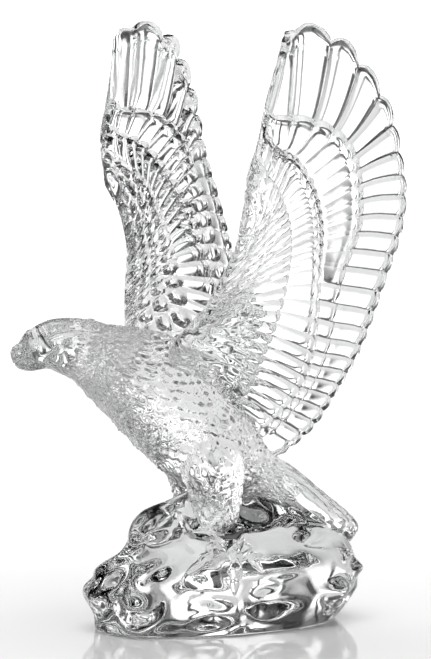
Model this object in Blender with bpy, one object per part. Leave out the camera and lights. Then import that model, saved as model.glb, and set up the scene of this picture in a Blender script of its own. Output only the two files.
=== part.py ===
"""A clear crystal eagle with raised wings, landing on a rock, cast as one solid of glass.

The bird faces -Y with its left side at +X. The origin is the middle of the flat underside.
Free forms are given in shares: one share is a millimetre at the full height of 234 mm.
"""
import bpy
import numpy as np

for old in list(bpy.data.objects):
    bpy.data.objects.remove(old, do_unlink=True)

# Driving sizes in metres
FIGURE_HEIGHT = 0.234
SHARE = FIGURE_HEIGHT / 234.0
ROCK_LENGTH = 0.114
ROCK_WIDTH = 0.072
ARM_THICKNESS = 0.0105
VANE_THICKNESS = 0.0052
EDGE_THICKNESS = 0.0030
TAIL_THICKNESS = 0.0060
ROW_STEP = 0.0011
VANE_CROWN = 0.0007
RIB_CROWN = 0.0012
LEG_SPACING = 0.026
TOE_THICKNESS = 0.0052
EYE_RADIUS = 0.0017
TAIL_ROOT_WIDTH = 0.024
TAIL_END_WIDTH = 0.036
TAIL_ARCH = 0.009
FAR_LEG_SETBACK = 0.0065

# Wing control lines of the left wing: feather number, then x, y, z in shares.
# Feather -1 is the leading edge at the tip, and the numbers rise towards the body.
LEADING_LINE = ((-1, 53.4, -16.0, 170.8), (0, 49.0, -15.3, 161.0), (4, 40.1, -16.2, 142.4),
                (8, 34.4, -19.9, 131.6), (12, 29.4, -22.9, 122.3), (16, 24.8, -25.6, 115.9),
                (20, 20.0, -28.0, 110.0), (24, 12.0, -30.0, 103.5), (26, 5.0, -30.0, 97.0))
ARM_LINE = ((-1, 59.8, -17.2, 182.5), (0, 57.0, -11.6, 177.5), (4, 53.2, -2.0, 166.0),
            (8, 48.8, 2.6, 153.6), (12, 42.9, 3.6, 139.6), (16, 33.9, 3.1, 122.7),
            (20, 25.0, 0.4, 106.8), (24, 15.6, -3.4, 90.5), (26, 6.0, -8.0, 82.0))
COVERT_LINE = ((-1, 61.6, -15.4, 193.0), (0, 61.8, -11.0, 188.4), (2, 61.2, -2.7, 183.9),
               (4, 60.0, 4.4, 176.2), (6, 58.3, 9.4, 168.5), (8, 55.9, 12.9, 160.8),
               (12, 48.2, 17.7, 143.0), (16, 36.8, 22.0, 115.9), (20, 28.4, 20.7, 95.6),
               (24, 17.0, 12.2, 79.5), (26, 7.0, 7.0, 72.0))
MIDDLE_LINE = ((-1, 60.2, -13.0, 202.5), (0, 61.6, -10.4, 198.4), (1, 62.6, -4.0, 197.4),
               (2, 64.0, 5.0, 195.8), (4, 66.4, 17.6, 188.2), (6, 66.7, 22.6, 178.3),
               (8, 64.6, 25.2, 167.6), (10, 60.2, 27.0, 155.6), (12, 53.0, 26.2, 142.6),
               (16, 38.8, 29.0, 113.8), (20, 29.8, 26.0, 93.4), (24, 18.0, 16.4, 76.4),
               (26, 7.0, 12.0, 68.0))
EDGE_LINE = ((-1, 65.2, -8.5, 227.3), (0, 65.6, -6.4, 229.0), (1, 62.4, -0.8, 229.6),
             (2, 65.2, 12.8, 226.8), (3, 69.8, 22.3, 218.0), (4, 74.0, 29.2, 206.6),
             (6, 76.4, 35.8, 185.4), (8, 74.1, 39.9, 169.0), (10, 67.6, 41.3, 153.6),
             (12, 60.0, 41.0, 139.8), (14, 51.4, 40.6, 124.8), (17, 40.6, 38.6, 105.3),
             (20, 32.4, 33.4, 90.1), (22, 27.0, 29.0, 80.2), (24, 19.0, 23.4, 71.0),
             (26, 7.0, 20.0, 63.0))
FIRST_FEATHER = -1
LAST_FEATHER = 26
LAST_MIDDLE_FEATHER = 13
BROAD_FEATHERS = 7
LAST_NARROW_FEATHER = 24
# Places across the wing where rows begin, as parts of the way between two lines.
STRIP_PLACES = (0.16, 0.62)
DORSAL_ROW_PLACE = 0.55
DORSAL_ROW_END = 0.58
# How far, in metres, a feather's tip bulges past its row's line, at the edge and within the wing.
TIP_BULGE = 0.0010
LONG_TIP_BULGE = 0.0033
INNER_BULGE = 0.0014
ROW_LIP = 0.0009
LONG_TIP_FEATHER = 1.6
LONG_TIP_SPREAD = 2.8
SCALE_RELIEF = 0.00035
SMOOTHING_PASSES = 8

# The tube of beak, head, neck and body: y, z, half height and half width in shares.
SPINE = ((-87.7, 109.2, 1.5, 1.0), (-86.8, 109.4, 3.0, 2.0), (-84.6, 108.9, 5.1, 3.2),
         (-80.8, 109.2, 6.9, 4.8), (-76.0, 110.2, 7.6, 7.0), (-70.0, 110.7, 8.6, 8.8),
         (-62.0, 110.0, 10.4, 10.2), (-54.0, 108.0, 12.1, 12.0), (-46.0, 104.1, 14.9, 14.6),
         (-36.6, 99.2, 18.2, 18.2), (-26.0, 93.6, 21.0, 21.6), (-15.0, 84.6, 22.0, 23.2),
         (-4.0, 73.4, 20.6, 22.6), (6.0, 64.6, 17.2, 19.5), (16.0, 59.0, 12.0, 16.0),
         (27.0, 53.0, 7.5, 12.5), (36.0, 47.0, 4.0, 10.0))
HEAD_RINGS = (0.0, 0.012, 0.030, 0.055, 0.085, 0.12, 0.165)
BODY_RINGS = 16
BODY_RINGS_START = 0.205
BODY_SPOKES = 22
HOOK_DROP = 0.0014
HOOK_SPREAD = 0.02
PLUMAGE_START = 0.13
PLUMAGE_FADE = 0.08
PLUMAGE_RELIEF = 0.0011
PLUMAGE_LEAN = 0.3

# The rock: level above the table and middle along y in shares, then half length and half width
# as parts of the rock's own half length and half width.
ROCK_LEVELS = ((0.0, 1.0, 0.878, 0.86), (2.0, 2.0, 0.900, 0.90), (6.0, 4.0, 0.940, 0.95),
               (14.0, 4.4, 1.0, 1.0), (20.0, 5.4, 0.975, 0.93), (25.0, 7.6, 0.925, 0.82),
               (29.0, 9.0, 0.865, 0.71), (33.0, 8.0, 0.800, 0.60), (40.0, 5.4, 0.700, 0.47),
               (46.0, 3.4, 0.520, 0.37), (51.0, 3.0, 0.300, 0.24), (55.0, 3.0, 0.12, 0.10))
ROCK_RINGS = (0.0, 1.0, 3.5, 8.5, 13.5, 18.0, 22.0, 25.5, 29.0, 33.0, 38.0, 43.5, 49.0, 54.0)
ROCK_SPOKES = 37
ROCK_SQUARENESS = 2.1
ROCK_PLAIN_FOOT = 4.0
# Lumps and scooped hollows: angle from +X in degrees, level, spread round in degrees, spread up,
# and height, which is negative in a hollow.
ROCK_FORMS = ((3, 13.0, 12, 5.0, -5.4), (-26, 9.5, 9, 4.5, -4.2), (-12, 9.0, 5, 8.0, 1.6),
              (3, 23.5, 16, 2.4, 2.6), (28, 30.0, 12, 3.6, -4.2), (-8, 29.0, 7, 3.2, -2.4),
              (9, 29.0, 7, 3.0, -2.4), (38, 13.0, 9, 5.0, 2.8), (56, 8.0, 8, 4.0, -2.8),
              (60, 20.0, 10, 3.0, 3.2), (86, 13.0, 9, 3.0, -2.2), (90, 25.0, 12, 3.0, 1.6),
              (-52, 27.0, 8, 4.0, 4.0), (-44, 13.0, 6, 6.0, -3.0), (-62, 9.0, 8, 5.0, 2.6),
              (-76, 19.0, 8, 4.0, -4.4), (-98, 9.0, 8, 4.0, 1.2), (-104, 24.0, 10, 3.0, 3.4),
              (-58, 40.0, 12, 4.0, 4.2), (-82, 33.0, 12, 3.0, -3.2), (-100, 44.0, 14, 4.0, 2.0),
              (120, 30.0, 14, 4.0, 3.0), (126, 14.0, 11, 5.0, -4.4), (150, 22.0, 10, 4.0, 3.4),
              (168, 12.0, 11, 5.0, -5.0), (190, 22.0, 8, 4.0, 2.6), (203, 11.0, 10, 5.0, -4.2),
              (222, 28.0, 12, 4.0, 3.8), (236, 12.0, 9, 5.0, 2.6), (90, 44.0, 28, 9.0, 11.0))

# The line of the tail's top from rump to end: y and z in shares.
TAIL_LINE = ((14.0, 70.0), (24.0, 64.8), (34.0, 58.8), (45.0, 50.2), (54.0, 43.4), (61.0, 36.6),
             (64.0, 31.0))
TAIL_ROUND_SHARE = 0.36
TAIL_KEEL = 1.3
TAIL_TIP_BULGE = 0.035
TAIL_FEATHERS = 8

# One leg from the flank down to the foot: y, z and radius in shares; x comes from the leg spacing.
LEG_LINE = ((-13.0, 82.0, 6.0), (-10.0, 71.0, 11.6), (-7.6, 61.0, 11.8), (-6.4, 53.0, 10.0),
            (-6.6, 46.0, 8.8), (-7.0, 41.0, 7.6), (-7.0, 37.0, 5.0), (-7.0, 31.0, 4.2),
            (-7.0, 26.0, 4.0))
LEG_RINGS = 11
LEG_SPOKES = 10
# Toes lie on the rock: angle and level at the foot, then at the talon.
TOES = ((-22, 35.0, -39, 24.0), (-17, 34.0, -16, 16.5), (-12, 34.0, -5, 24.0))
TOE_TAPER = (1.1, 1.15, 1.0, 1.0, 0.75, 0.25)
BROW_LINE = ((6.0, -76.2, 114.6, 0.9), (6.9, -72.4, 116.0, 1.7), (7.6, -68.0, 116.8, 1.9),
             (7.8, -63.5, 116.6, 0.9))
EYE_PLACE = (7.4, -71.4, 111.8)


def spline(knots, values, at):
    """A natural cubic through the values at their knots, read at other places as whole arrays."""
    knots = np.asarray(knots, float)
    values = np.asarray(values, float)
    at = np.asarray(at, float)
    gap = np.diff(knots)
    slope = np.diff(values, axis=0) / gap[:, None]
    count = len(knots)
    system = np.eye(count)
    right = np.zeros_like(values)
    for i in range(1, count - 1):
        system[i, i - 1:i + 2] = gap[i - 1], 2 * (gap[i - 1] + gap[i]), gap[i]
        right[i] = 6 * (slope[i] - slope[i - 1])
    bend = np.linalg.solve(system, right)
    i = np.clip(np.searchsorted(knots, at) - 1, 0, count - 2)
    h = gap[i][:, None]
    t = (at - knots[i])[:, None]
    low, high = bend[i], bend[i + 1]
    straight = values[i] + t * (slope[i] - h * (2 * low + high) / 6)
    return straight + t * t * low / 2 + t ** 3 * (high - low) / (6 * h)


def line_at(line, at):
    """Reads a control line whose rows start with their place along it."""
    rows = np.array(line)
    return spline(rows[:, 0], rows[:, 1:], at)


def unit(vectors):
    """Vectors brought to length one."""
    return vectors / np.maximum(np.linalg.norm(vectors, axis=-1, keepdims=True), 1e-12)


def solid(name, points, faces):
    """An object from points in metres and faces, split into triangles, with its faces turned outward."""
    mesh = bpy.data.meshes.new(name)
    mesh.from_pydata([tuple(map(float, p)) for p in points], [], faces)
    mesh.validate()
    triangles = []
    mesh.calc_loop_triangles()
    for triangle in mesh.loop_triangles:
        triangles.append(tuple(triangle.vertices))
    corners = np.array([v.co for v in mesh.vertices], float)
    a, b, c = (corners[[t[k] for t in triangles]] for k in range(3))
    volume = np.einsum("ij,ij->i", a, np.cross(b, c)).sum() / 6
    if volume < 0:
        triangles = [t[::-1] for t in triangles]
    closed = bpy.data.meshes.new(name)
    closed.from_pydata([tuple(p) for p in corners], [], triangles)
    closed.update()
    thing = bpy.data.objects.new(name, closed)
    bpy.context.scene.collection.objects.link(thing)
    return thing


def tube(name, rings):
    """A closed tube from rings of points, with a point closing each end.

    Each face is split along the diagonal that joins its two odd points, so a raised even point
    stands as the tip of a feather and not as a link in a ridge."""
    count, around = rings.shape[:2]
    points = list(rings.reshape(-1, 3)) + [rings[0].mean(axis=0), rings[-1].mean(axis=0)]
    first, last = count * around, count * around + 1
    faces = []
    for j in range(around):
        k = (j + 1) % around
        for i in range(count - 1):
            a, b = i * around + j, i * around + k
            c, d = b + around, a + around
            faces += [(a, b, d), (b, c, d)] if (i + j) % 2 == 0 else [(a, b, c), (a, c, d)]
        faces.append((first, k, j))
        faces.append((last, (count - 1) * around + j, (count - 1) * around + k))
    return solid(name, points, faces)


def sheet(name, front, back):
    """A closed sheet from a front and a back grid, joined along their four edges."""
    rows, columns = front.shape[:2]
    points = np.concatenate([front.reshape(-1, 3), back.reshape(-1, 3)])
    far = rows * columns
    faces = []
    for i in range(rows - 1):
        for j in range(columns - 1):
            a, b = i * columns + j, (i + 1) * columns + j
            faces.append((a, b, b + 1, a + 1))
            faces.append((far + a, far + a + 1, far + b + 1, far + b))
    border = [i * columns for i in range(rows)]
    border += [(rows - 1) * columns + j for j in range(1, columns)]
    border += [i * columns + columns - 1 for i in range(rows - 2, -1, -1)]
    border += list(range(columns - 2, 0, -1))
    for a, b in zip(border, border[1:] + border[:1]):
        faces.append((a, far + a, far + b, b))
    return solid(name, points, faces)


def crown(place, power):
    """A pillow across a feather: one in its middle, falling to nought at its two edges."""
    across = np.abs(2 * (place - np.floor(place)) - 1)
    return 1 - across ** power


def wing_lines(feather):
    """The five control lines at each feather place in metres, with the tips rounded outward."""
    lines = (LEADING_LINE, ARM_LINE, COVERT_LINE, MIDDLE_LINE, EDGE_LINE)
    leading, arm, covert, middle, edge = [line_at(line, feather) * SHARE for line in lines]
    long_tips = np.exp(-((feather - LONG_TIP_FEATHER) / LONG_TIP_SPREAD) ** 2)
    tip = (TIP_BULGE + LONG_TIP_BULGE * long_tips) * crown(feather, 2.2) * np.clip(feather, 0.1, 1)
    edge = edge + unit(edge - middle) * tip[:, None]
    return leading, arm, covert, middle, edge


def sheet_normals(grid):
    """Normals of a grid of points, averaged over their neighbours so that steps don't tilt them."""
    normal = unit(np.cross(np.gradient(grid, axis=0), np.gradient(grid, axis=1)))
    for _ in range(SMOOTHING_PASSES):
        normal[1:-1] = (normal[:-2] + 2 * normal[1:-1] + normal[2:]) / 4
        normal[:, 1:-1] = (normal[:, :-2] + 2 * normal[:, 1:-1] + normal[:, 2:]) / 4
        normal = unit(normal)
    return normal


def wing(name, side):
    """One raised wing: feathers fan from the arm to the outer edge, in rows that step down outward."""
    broad = np.arange(FIRST_FEATHER * 3, BROAD_FEATHERS * 3) / 3
    narrow = np.arange(BROAD_FEATHERS * 2, LAST_NARROW_FEATHER * 2) / 2
    buried = np.arange(LAST_NARROW_FEATHER, LAST_FEATHER + 1)
    feather = np.concatenate([broad, narrow, buried])
    leading, arm, covert, middle, edge = wing_lines(feather)
    scallop = (INNER_BULGE * crown(feather, 2.2) * np.clip(feather / 4, 0, 1))[:, None]
    out_arm, out_covert, out_middle = unit(covert - arm), unit(middle - covert), unit(edge - middle)
    stations = [leading,
                leading + (arm - leading) * STRIP_PLACES[0],
                leading + (arm - leading) * STRIP_PLACES[1],
                arm + out_arm * (scallop - ROW_LIP),
                arm + out_arm * scallop,
                covert + out_covert * (scallop - ROW_LIP),
                covert + out_covert * scallop,
                middle + out_middle * (scallop - ROW_LIP),
                middle + out_middle * scallop,
                middle + (edge - middle) * DORSAL_ROW_PLACE,
                middle + (edge - middle) * DORSAL_ROW_END,
                edge]
    core = np.stack(stations, axis=1)
    normal = sheet_normals(core)

    # Half the thickness at each station: the arm is thickest, and all grow stouter towards the body.
    root = np.clip((feather - 6) / (LAST_FEATHER - 6), 0, 1)
    arm_half = ARM_THICKNESS * (0.31 + 0.42 * root ** 1.5)
    vane_half = VANE_THICKNESS * (0.42 + 0.25 * root)
    edge_half = EDGE_THICKNESS * (0.5 + 0.25 * root)
    half = np.stack([arm_half * 0.28, arm_half * 0.92, arm_half, arm_half * 0.92, arm_half * 0.86,
                     vane_half * 1.15, vane_half * 1.1, vane_half, vane_half, vane_half * 0.85,
                     vane_half * 0.85, edge_half], axis=1)

    # Relief at each station: rows of scales, then ribs, then vanes, each row a step below the last.
    # The outer face has two steps beyond the arm, and a third on the outermost feathers only.
    level = np.zeros_like(feather)
    rib = RIB_CROWN * crown(feather, 2.6)
    vane = VANE_CROWN * crown(feather, 2.6)
    short_row = ROW_STEP * np.clip((LAST_MIDDLE_FEATHER + 0.5 - feather) / 1.5, 0, 1)
    scale = SCALE_RELIEF * np.where(np.arange(len(feather)) % 2 == 0, 1.0, -0.3)
    outer = np.stack([level, scale, -scale,
                      level + ROW_STEP, rib * 0.5 - 0.2 * ROW_STEP,
                      rib + 0.6 * ROW_STEP, vane - 0.2 * ROW_STEP,
                      vane + 0.5 * short_row, vane - 0.3 * short_row,
                      vane, vane, vane * 0.5], axis=1)
    inner = np.stack([level, scale, -scale,
                      level + ROW_STEP, rib * 0.6 - 0.2 * ROW_STEP,
                      rib, rib,
                      rib + 0.7 * ROW_STEP, vane - 0.3 * ROW_STEP,
                      vane + 0.6 * ROW_STEP, vane - 0.3 * ROW_STEP, vane * 0.5], axis=1)

    # The sheet thins to a rounded leading edge at the tip, and thins again where the body hides it.
    lead = np.clip((feather - FIRST_FEATHER) / 0.9, 0, 1)
    bury = np.clip((LAST_FEATHER - feather) / 4, 0, 1)
    rounding = (0.3 + 0.7 * np.sqrt(1 - (1 - lead) ** 2)) * (0.35 + 0.65 * bury)
    front = core + normal * ((half + outer) * rounding[:, None])[..., None]
    back = core - normal * ((half + inner) * rounding[:, None])[..., None]
    mirror = np.array([side, 1, 1])
    return sheet(name, front * mirror, back * mirror)


def spine_rings(places, around):
    """Rings of the body tube: ellipses square to the spine, top first, with staggered plumage."""
    rows = np.array(SPINE)
    step = np.linalg.norm(np.diff(rows[:, :2], axis=0), axis=1)
    along = np.concatenate([[0], np.cumsum(step)])
    values = spline(along, rows, places * along[-1])
    ahead = spline(along, rows[:, :2], np.clip(places + 0.002, 0, 1) * along[-1])
    behind = spline(along, rows[:, :2], np.clip(places - 0.002, 0, 1) * along[-1])
    tangent = unit(ahead - behind)
    # Half a step of turn keeps every point off the mid-plane, where the tail has its own points.
    angle = (np.arange(around) + 0.5) / around * 2 * np.pi
    up = values[:, 2:3] * np.cos(angle)
    wide = values[:, 3:4] * np.sin(angle)
    y = values[:, 0:1] - tangent[:, 1:2] * up
    z = values[:, 1:2] + tangent[:, 0:1] * up
    return np.stack([wide, y, z], axis=-1) * SHARE


def body():
    """Beak, head, neck and body in one tube, covered by feathers that stand proud in turn."""
    places = np.concatenate([HEAD_RINGS, np.linspace(BODY_RINGS_START, 1.0, BODY_RINGS)])
    rings = spine_rings(places, BODY_SPOKES)
    centre = rings.mean(axis=1, keepdims=True)
    raised = (np.arange(len(places))[:, None] + np.arange(BODY_SPOKES)[None, :]) % 2 == 0
    raised = (raised * np.clip((places - PLUMAGE_START) / PLUMAGE_FADE, 0, 1)[:, None])[..., None]
    outward = unit(rings - centre) * PLUMAGE_RELIEF
    backward = np.gradient(centre, axis=0) * PLUMAGE_LEAN
    rings = rings + (outward + backward) * raised
    hook = np.exp(-(places / HOOK_SPREAD) ** 2)[:, None]
    angle = (np.arange(BODY_SPOKES) + 0.5) / BODY_SPOKES * 2 * np.pi
    lower = np.clip(-np.cos(angle), 0, 1)[None, :]
    rings[..., 2] -= HOOK_DROP * hook * (0.3 + 0.7 * lower)
    return tube("beak_head_body", rings)


def blob(name, centre, radii, rows, around):
    """An ellipsoid from rings along z."""
    height = np.linspace(0.03, 0.97, rows) * np.pi
    angle = np.arange(around) / around * 2 * np.pi
    x = np.sin(height)[:, None] * np.cos(angle) * radii[0] + centre[0]
    y = np.sin(height)[:, None] * np.sin(angle) * radii[1] + centre[1]
    z = np.repeat(np.cos(height)[:, None], around, axis=1) * radii[2] + centre[2]
    return tube(name, np.stack([x, y, z], axis=-1))


def limb(name, centres, radii, around, squash=1.0):
    """A tube along a path of points, round or wider than high, in metres."""
    tangent = unit(np.gradient(centres, axis=0))
    side = unit(np.cross(tangent, np.array([0.12, 1.0, 0.3])))
    up = np.cross(side, tangent)
    angle = np.arange(around) / around * 2 * np.pi
    wide = radii[:, None, None] * np.cos(angle)[None, :, None] * side[:, None, :]
    high = squash * radii[:, None, None] * np.sin(angle)[None, :, None] * up[:, None, :]
    return tube(name, centres[:, None, :] + wide + high)


def foot_place(side):
    """Where a shank meets the rock; the right leg stands a little behind the left."""
    setback = FAR_LEG_SETBACK if side < 0 else 0.0
    return np.array([side * LEG_SPACING / 2, setback, 0.0])


def leg(side):
    """A feathered thigh that tapers into a short bare shank."""
    rows = np.array(LEG_LINE)
    at = np.linspace(0, len(rows) - 1, LEG_RINGS)
    y, z, radius = spline(np.arange(len(rows)), rows, at).T * SHARE
    centres = foot_place(side) + np.stack([0 * y, y, z], axis=1)
    return limb(f"leg_{side}", centres, radius, LEG_SPOKES)


def toe(side, number, foot_angle, foot_level, tip_angle, tip_level):
    """One toe with its talon, half sunk in the side of the rock that it grips."""
    share = np.linspace(0, 1, len(TOE_TAPER))
    turn = np.radians(foot_angle + (tip_angle - foot_angle) * share)
    level = foot_level + (tip_level - foot_level) * share
    centres = rock_surface(turn, level) + foot_place(side) * np.array([0, 1, 0])
    centres[:, 0] = side * (centres[:, 0] + TOE_THICKNESS * 0.25)
    radii = TOE_THICKNESS / 2 * np.array(TOE_TAPER)
    return limb(f"toe_{side}_{number}", centres, radii, 6)


def brow(side):
    """The ridge that shades the eye."""
    rows = np.array(BROW_LINE) * SHARE
    return limb(f"brow_{side}", rows[:, :3] * np.array([side, 1, 1]), rows[:, 3], 6)


def tail():
    """A fan of tail feathers, arched across and longest in the middle, with a solid keel below."""
    rows = np.array(TAIL_LINE)
    lengths = np.linalg.norm(np.diff(rows, axis=0), axis=1)
    step = np.concatenate([[0], np.cumsum(lengths)])
    across = np.linspace(-1, 1, 2 * TAIL_FEATHERS + 1)
    along = np.linspace(0, 1, 6)
    tip = crown(np.arange(len(across)) / 2, 2.2) * TAIL_TIP_BULGE
    reach = 1 - TAIL_ROUND_SHARE * np.abs(across) ** 1.7 + tip
    places = np.outer(reach, along)
    flat = spline(step, rows * SHARE, places.ravel() * step[-1]).reshape(*places.shape, 2)
    width = TAIL_ROOT_WIDTH + (TAIL_END_WIDTH - TAIL_ROOT_WIDTH) * places
    x = across[:, None] * width / 2
    z = flat[..., 1] - TAIL_ARCH * across[:, None] ** 2 * (0.5 + 0.5 * places)
    top = np.stack([x, flat[..., 0], z], axis=-1)
    normal = unit(np.cross(np.gradient(top, axis=1), np.gradient(top, axis=0)))
    normal = normal * np.sign(normal[..., 2:3])
    groove = crown(np.arange(len(across)) / 2, 1.5)[:, None] - 0.5
    front = top + normal * (groove * RIB_CROWN)[..., None]
    thickness = TAIL_THICKNESS * (1 + TAIL_KEEL * (1 - across ** 2))
    back = top - normal * thickness[:, None, None]
    return sheet("tail", front, back)


def rock_surface(angle, level):
    """Points of the rock's side for arrays of angles and levels: a rounded plan with lumps and hollows."""
    rows = np.array(ROCK_LEVELS)
    shape = np.broadcast(angle, level).shape
    flat_level = np.broadcast_to(level, shape).ravel()
    middle, length, width = spline(rows[:, 0], rows[:, 1:], flat_level).T.reshape(3, *shape)
    power = ROCK_SQUARENESS
    corner = (np.abs(np.cos(angle)) ** power + np.abs(np.sin(angle)) ** power) ** (-1 / power)
    push = np.zeros(shape)
    for turn, height, spread_round, spread_up, amount in ROCK_FORMS:
        away = (np.degrees(angle) - turn + 180) % 360 - 180
        round_part = np.exp(-(away / spread_round) ** 2)
        push += amount * round_part * np.exp(-((level - height) / spread_up) ** 2)
    push *= np.clip(level / ROCK_PLAIN_FOOT, 0, 1)
    x = np.cos(angle) * (corner * width * ROCK_WIDTH / 2 + push * SHARE)
    y = np.sin(angle) * (corner * length * ROCK_LENGTH / 2 + push * SHARE) + middle * SHARE
    return np.stack([x, y, level * SHARE + 0 * x], axis=-1)


def rock():
    """The rock, ring by ring, flat below."""
    angle = np.arange(ROCK_SPOKES) / ROCK_SPOKES * 2 * np.pi
    return tube("rock", rock_surface(angle[None, :], np.array(ROCK_RINGS)[:, None]))


def crystal():
    """Clear lead crystal: colourless, smooth and fully see-through."""
    material = bpy.data.materials.new("clear_crystal")
    material.use_nodes = True
    shader = material.node_tree.nodes["Principled BSDF"]
    shader.inputs["Base Color"].default_value = (0.93, 0.95, 0.95, 1.0)
    shader.inputs["Roughness"].default_value = 0.02
    shader.inputs["Metallic"].default_value = 0.0
    shader.inputs["IOR"].default_value = 1.545
    shader.inputs["Transmission Weight"].default_value = 1.0
    return material


def fuse(base, parts):
    """Joins parts to the base, one after another, and keeps them out of sight."""
    for part in parts:
        join = base.modifiers.new(part.name, "BOOLEAN")
        join.operation = "UNION"
        join.solver = "EXACT"
        join.object = part
        part.hide_render = True
        part.display_type = "WIRE"
    return base


eagle = rock()
eagle.name = "crystal_eagle"
pieces = [body(), tail()]
for side in (1, -1):
    pieces += [wing(f"wing_{side}", side), leg(side), brow(side)]
    pieces += [toe(side, number, *settings) for number, settings in enumerate(TOES)]
    eye = np.array(EYE_PLACE) * SHARE * np.array([side, 1, 1])
    pieces.append(blob(f"eye_{side}", eye, (EYE_RADIUS, EYE_RADIUS, EYE_RADIUS), 5, 8))
fuse(eagle, pieces)
eagle.data.materials.append(crystal())
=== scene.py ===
"""A clear crystal eagle with raised wings, landing on a rock: one solid casting of glass.

The bird faces -Y with its left side at +X, and the origin is the middle of the flat underside.
"""

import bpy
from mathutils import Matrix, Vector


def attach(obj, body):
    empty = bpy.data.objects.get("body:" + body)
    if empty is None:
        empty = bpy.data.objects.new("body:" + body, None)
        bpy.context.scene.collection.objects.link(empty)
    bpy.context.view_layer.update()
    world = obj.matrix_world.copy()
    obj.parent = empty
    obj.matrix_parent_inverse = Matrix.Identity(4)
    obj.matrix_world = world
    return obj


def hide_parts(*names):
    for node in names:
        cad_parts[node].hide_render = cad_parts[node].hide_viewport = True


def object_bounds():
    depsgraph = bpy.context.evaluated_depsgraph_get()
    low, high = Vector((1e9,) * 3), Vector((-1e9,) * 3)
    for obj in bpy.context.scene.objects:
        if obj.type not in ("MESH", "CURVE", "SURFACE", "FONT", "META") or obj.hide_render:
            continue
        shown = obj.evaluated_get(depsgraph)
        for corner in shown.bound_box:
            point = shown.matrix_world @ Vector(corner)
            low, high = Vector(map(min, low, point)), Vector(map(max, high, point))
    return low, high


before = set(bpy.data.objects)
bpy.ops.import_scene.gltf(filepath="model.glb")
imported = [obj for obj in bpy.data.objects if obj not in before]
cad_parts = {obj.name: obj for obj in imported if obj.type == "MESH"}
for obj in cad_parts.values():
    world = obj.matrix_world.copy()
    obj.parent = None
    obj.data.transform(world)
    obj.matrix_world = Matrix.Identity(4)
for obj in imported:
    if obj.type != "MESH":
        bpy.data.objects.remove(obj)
cad_low, cad_high = [list(corner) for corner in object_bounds()]

import bmesh
import bpy
import numpy as np

# Wings: two mirrored blades of glass, thick along the arm and thin at the feather tips. The mould
# presses rows of feathers into both faces, and each row stands a step above the next one out.

# Free forms are in shares: one share is a millimetre on a casting that is 233.1 shares high.
SHARE = (cad_high[2] - cad_low[2]) / 233.1

# Control lines of the left wing: feather number, then x, y, z in shares. Feather -1 is the
# leading edge at the tip, and the numbers rise towards the body.
LEADING_LINE = ((-1, 53.4, -16.0, 170.8), (0, 49.0, -15.3, 161.0), (4, 40.1, -16.2, 142.4),
                (8, 34.4, -19.9, 131.6), (12, 29.4, -22.9, 122.3), (16, 24.8, -25.6, 115.9),
                (20, 20.0, -28.0, 110.0), (24, 12.0, -30.0, 103.5), (26, 5.0, -30.0, 97.0))
ARM_LINE = ((-1, 59.8, -17.2, 182.5), (0, 57.0, -11.6, 177.5), (4, 53.2, -2.0, 166.0),
            (8, 48.8, 2.6, 153.6), (12, 42.9, 3.6, 139.6), (16, 33.9, 3.1, 122.7),
            (20, 25.0, 0.4, 106.8), (24, 15.6, -3.4, 90.5), (26, 6.0, -8.0, 82.0))
COVERT_LINE = ((-1, 61.6, -15.4, 193.0), (0, 61.8, -11.0, 188.4), (2, 61.2, -2.7, 183.9),
               (4, 60.0, 4.4, 176.2), (6, 58.3, 9.4, 168.5), (8, 55.9, 12.9, 160.8),
               (12, 48.2, 17.7, 143.0), (16, 36.8, 22.0, 115.9), (20, 28.4, 20.7, 95.6),
               (24, 17.0, 12.2, 79.5), (26, 7.0, 7.0, 72.0))
MIDDLE_LINE = ((-1, 60.2, -13.0, 202.5), (0, 61.6, -10.4, 198.4), (1, 62.6, -4.0, 197.4),
               (2, 64.0, 5.0, 195.8), (4, 66.4, 17.6, 188.2), (6, 66.7, 22.6, 178.3),
               (8, 64.6, 25.2, 167.6), (10, 60.2, 27.0, 155.6), (12, 53.0, 26.2, 142.6),
               (16, 38.8, 29.0, 113.8), (20, 29.8, 26.0, 93.4), (24, 18.0, 16.4, 76.4),
               (26, 7.0, 12.0, 68.0))
EDGE_LINE = ((-1, 65.6, -8.3, 226.4), (0, 65.0, -4.9, 230.0), (1, 62.4, -0.8, 230.4),
             (2, 65.2, 12.8, 226.8), (3, 69.8, 22.3, 218.0), (4, 74.0, 29.2, 206.6),
             (6, 76.4, 35.8, 185.4), (8, 74.1, 39.9, 169.0), (10, 67.6, 41.3, 153.6),
             (12, 60.0, 41.0, 139.8), (14, 51.4, 40.6, 124.8), (17, 40.6, 38.6, 105.3),
             (20, 32.4, 33.4, 90.1), (22, 27.0, 29.0, 80.2), (24, 19.0, 23.4, 71.0),
             (26, 7.0, 20.0, 63.0))
WING_LINES = (LEADING_LINE, ARM_LINE, COVERT_LINE, MIDDLE_LINE, EDGE_LINE)

# Chord places of those five lines, and of the outer ends of the loops on the back. The short row
# starts on the arm and runs a little past the arm's line.
WING_KNOTS = np.array((0.0, 1.4, 2.05, 2.65, 3.6))
ARM, COVERT, MIDDLE, EDGE = WING_KNOTS[1:]
LOOP_END = MIDDLE + 0.72 * (EDGE - MIDDLE)
SHORT_ROW_START, SHORT_ROW_PAST = 1.12, 0.06

# Feather numbers: the blade's ends, the last feather of the middle row, and the places that the
# body hides. The blade's normals are averaged in several passes.
FIRST_FEATHER, LAST_FULL_FEATHER, LAST_FEATHER = -1, 24, 26
LAST_MIDDLE_FEATHER = 13.5
BURIED_FEATHERS = (24, 24.5, 25, 26)
SMOOTHING_PASSES = 14

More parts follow.
